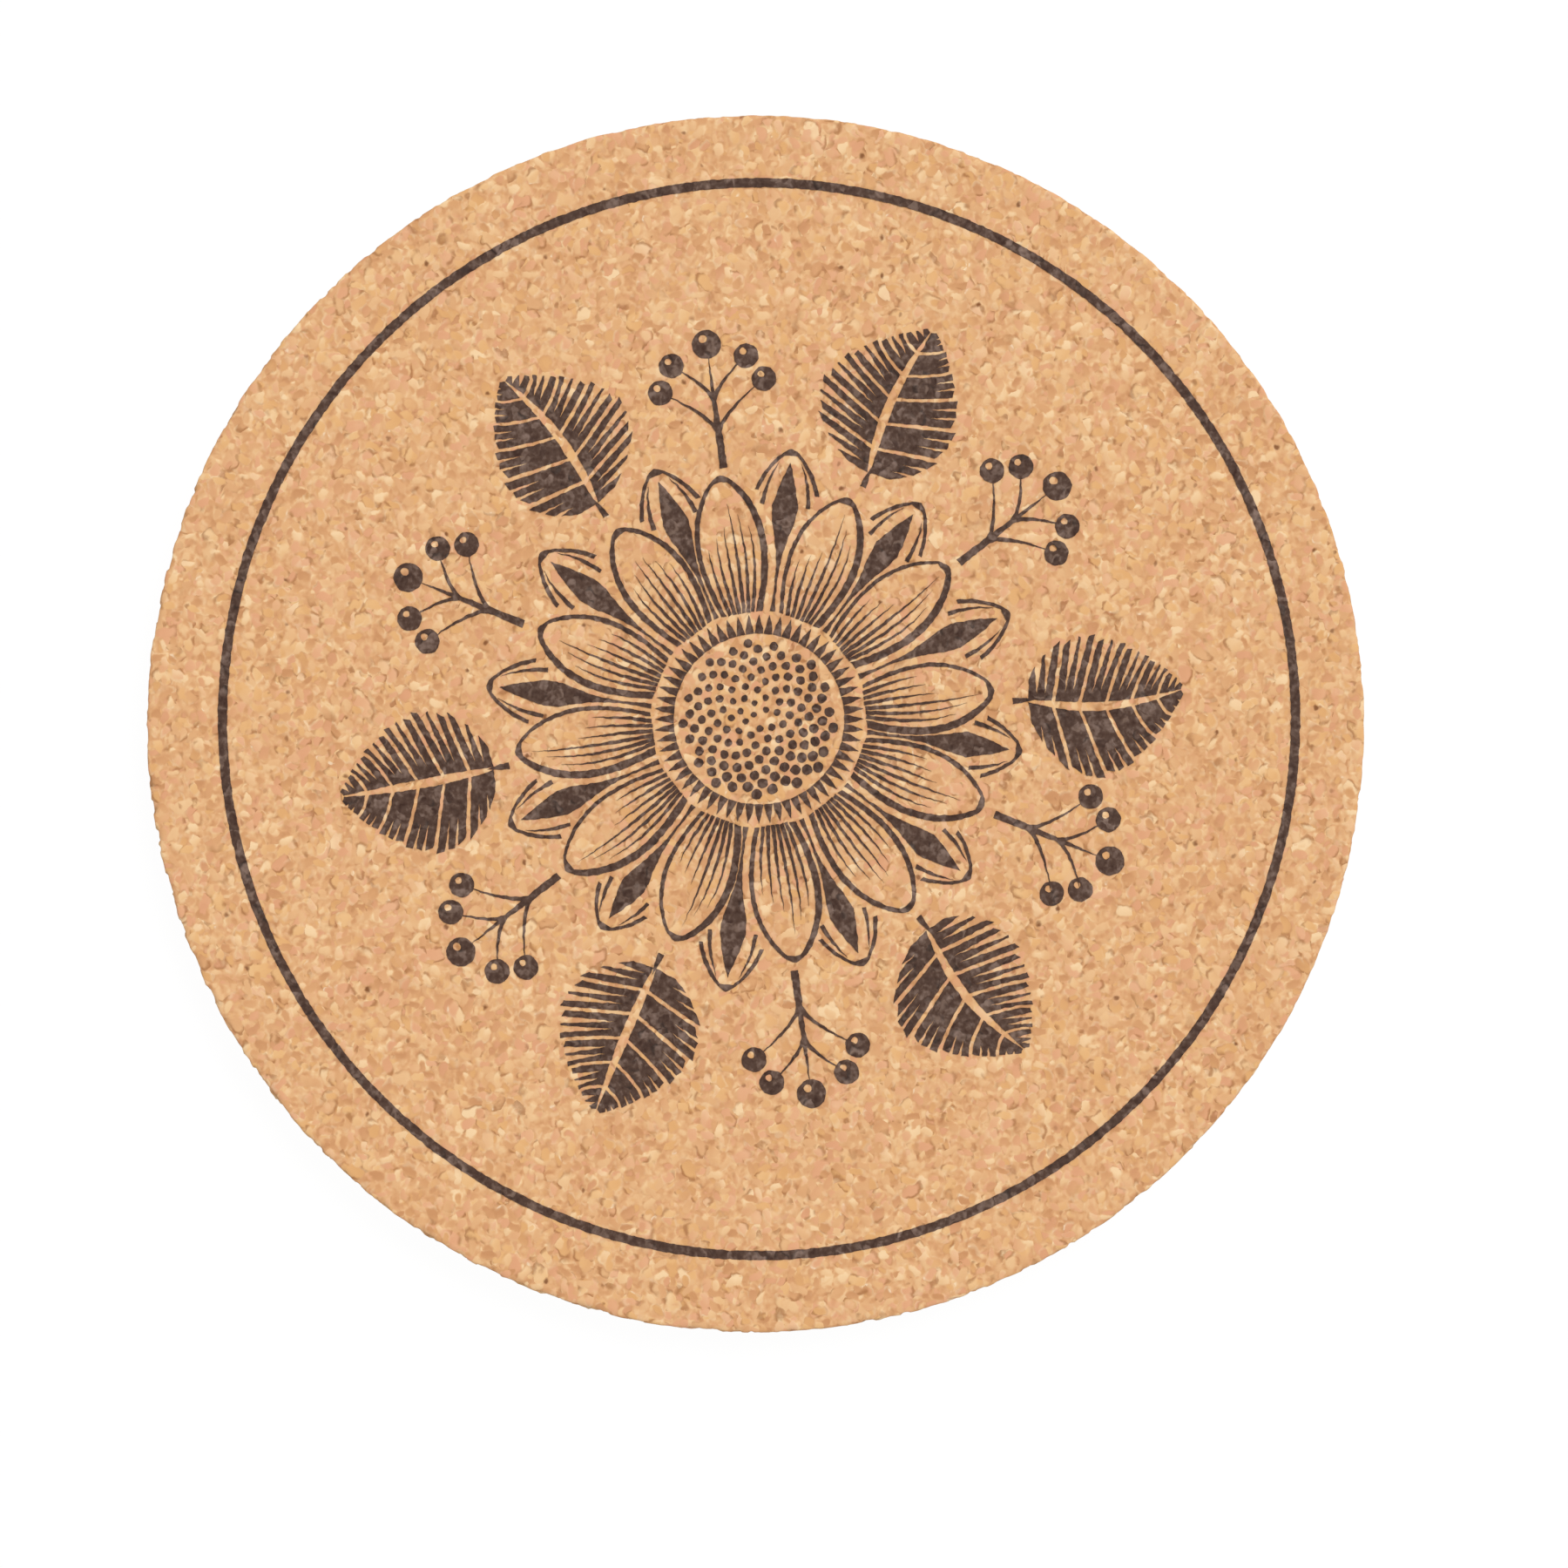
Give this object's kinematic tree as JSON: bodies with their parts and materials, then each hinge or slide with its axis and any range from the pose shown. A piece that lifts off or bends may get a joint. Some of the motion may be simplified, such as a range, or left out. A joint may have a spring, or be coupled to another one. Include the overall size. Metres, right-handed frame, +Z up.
{
  "type": "cork coaster",
  "caption": "Flat round coaster of agglomerated cork with a dark printed flower and a border line, set under a cup or glass to protect the table.",
  "frame": {"origin": "centre of the disc's underside, on the table", "axes": "+Z up through the disc, from the table to the printed face; +X to the right of the picture and +Y away from its viewer"},
  "size_m": [0.1, 0.1, 0.0051],
  "materials": {
    "cork": null,
    "ink": "matte dark brown printing ink, thin enough to show the cork's grain"
  },
  "bodies": {
    "root": {"cork_disc": "cork", "border_line": "ink", "seed_head": "ink", "head_fringe": "ink", "front_petal_1": "ink", "front_petal_2": "ink", "front_petal_3": "ink", "front_petal_4": "ink", "front_petal_5": "ink", "front_petal_6": "ink", "front_petal_7": "ink", "front_petal_8": "ink", "front_petal_9": "ink", "front_petal_10": "ink", "front_petal_11": "ink", "front_petal_12": "ink", "back_petal_1": "ink", "back_petal_2": "ink", "back_petal_3": "ink", "back_petal_4": "ink", "back_petal_5": "ink", "back_petal_6": "ink", "back_petal_7": "ink", "back_petal_8": "ink", "back_petal_9": "ink", "back_petal_10": "ink", "back_petal_11": "ink", "back_petal_12": "ink", "leaf_1": "ink", "leaf_2": "ink", "leaf_3": "ink", "leaf_4": "ink", "leaf_5": "ink", "leaf_6": "ink", "berry_sprig_1": "ink", "berry_sprig_2": "ink", "berry_sprig_3": "ink", "berry_sprig_4": "ink", "berry_sprig_5": "ink", "berry_sprig_6": "ink"}
  },
  "joints": []
}
